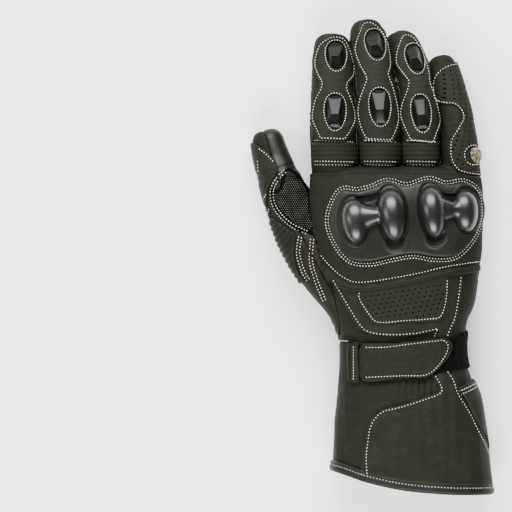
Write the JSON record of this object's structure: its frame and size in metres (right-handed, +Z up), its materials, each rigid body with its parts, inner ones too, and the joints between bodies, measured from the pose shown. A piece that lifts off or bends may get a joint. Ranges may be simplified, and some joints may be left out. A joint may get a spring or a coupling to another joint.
{
  "type": "motorcycle gauntlet glove",
  "caption": "Right-hand leather motorcycle gauntlet glove with moulded knuckle guard, finger studs, wrist strap and long cuff, lying palm down.",
  "frame": {"origin": "centre of the glove's footprint, on the floor that it lies on", "axes": "+Z up, away from the palm; +Y from the cuff to the fingertips; -X to the thumb"},
  "size_m": [0.156, 0.3052, 0.0641],
  "materials": {
    "back_leather": "matt grey-black leather of the back, fine grain",
    "palm_leather": "soft satin black-brown leather of the palm, creased",
    "overlay_leather": "matt grey-black leather laid on the shell, pale stitching",
    "perforated_leather": "matt leather with small punched holes",
    "pad_leather": "matt padded leather",
    "grip_mesh": "black textured grip mesh",
    "loop_tape": "fuzzy black loop tape",
    "binding": "folded edge binding, satin",
    "guard_satin": "satin grey-green moulded guard",
    "guard_gloss": "glossy black moulded domes",
    "stud_plastic": "glossy dark moulded studs",
    "badge_metal": "pale knurled metal"
  },
  "bodies": {
    "root": {"back_panel": "back_leather", "palm_panel": "palm_leather", "index_back": "back_leather", "index_palm": "palm_leather", "middle_back": "back_leather", "middle_palm": "palm_leather", "ring_back": "back_leather", "ring_palm": "palm_leather", "little_back": "back_leather", "little_palm": "palm_leather", "fourchette_index_middle": "palm_leather", "fourchette_middle_ring": "palm_leather", "fourchette_ring_little": "palm_leather", "thumb_back": "back_leather", "thumb_palm": "palm_leather", "wrist_gather": "palm_leather", "cuff_back": "back_leather", "cuff_palm": "palm_leather", "cuff_binding": "binding", "index_overlay": "overlay_leather", "middle_overlay": "overlay_leather", "ring_overlay": "overlay_leather", "index_stud_near": "stud_plastic", "index_stud_far": "stud_plastic", "middle_stud_near": "stud_plastic", "middle_stud_far": "stud_plastic", "ring_stud_near": "stud_plastic", "ring_stud_far": "stud_plastic", "index_stretch_band": "back_leather", "middle_stretch_band": "back_leather", "ring_stretch_band": "back_leather", "little_side_panel": "perforated_leather", "side_badge": "badge_metal", "knuckle_panel": "back_leather", "knuckle_plate": "guard_satin", "knuckle_domes_index_side": "guard_gloss", "knuckle_domes_little_side": "guard_gloss", "wrist_shield": "overlay_leather", "back_vent_panel": "perforated_leather", "strap_loop_tape": "loop_tape", "wrist_strap": "overlay_leather", "strap_keeper": "overlay_leather", "cuff_overlay": "overlay_leather", "cuff_flap": "overlay_leather", "flap_tab": "loop_tape", "heel_pad": "pad_leather", "heel_teardrop": "perforated_leather", "palm_grip_patch": "grip_mesh", "thumb_grip_patch": "grip_mesh", "thumb_ribbed_panel": "back_leather", "thumb_overlay": "overlay_leather"}
  },
  "joints": []
}
